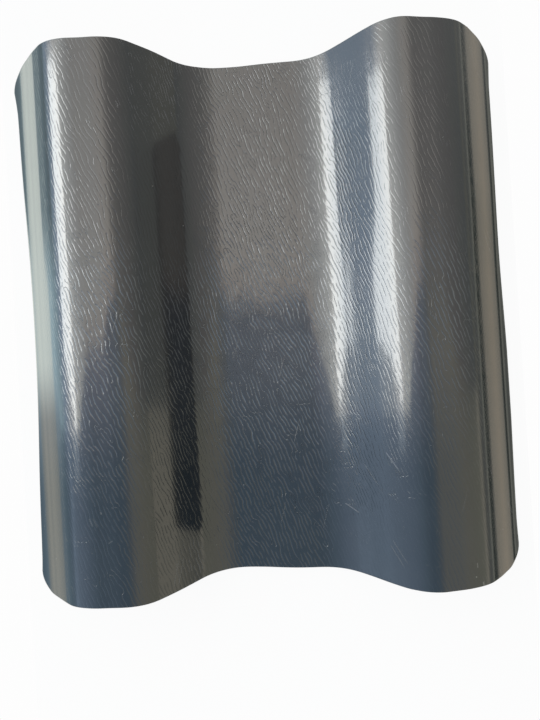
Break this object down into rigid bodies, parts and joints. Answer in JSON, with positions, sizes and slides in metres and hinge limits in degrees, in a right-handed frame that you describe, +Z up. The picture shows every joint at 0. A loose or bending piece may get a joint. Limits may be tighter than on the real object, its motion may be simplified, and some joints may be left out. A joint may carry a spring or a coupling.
{
  "type": "plastic roof tile sheet",
  "caption": "Wave-profiled dark grey plastic roof tile sheet with a flat pan between round crests, embossed grain and round corners.",
  "frame": {"origin": "middle of the sheet's plan, on the underside of its pan, which it lies on", "axes": "+X across the waves, +Y along the waves (the sheet's length), +Z up, from the pan towards the crests"},
  "size_m": [0.203, 0.22, 0.0315],
  "materials": {
    "sheet_plastic": "glossy, with an embossed grain on the upper face"
  },
  "bodies": {
    "root": {"tile_sheet": "sheet_plastic"}
  },
  "joints": []
}
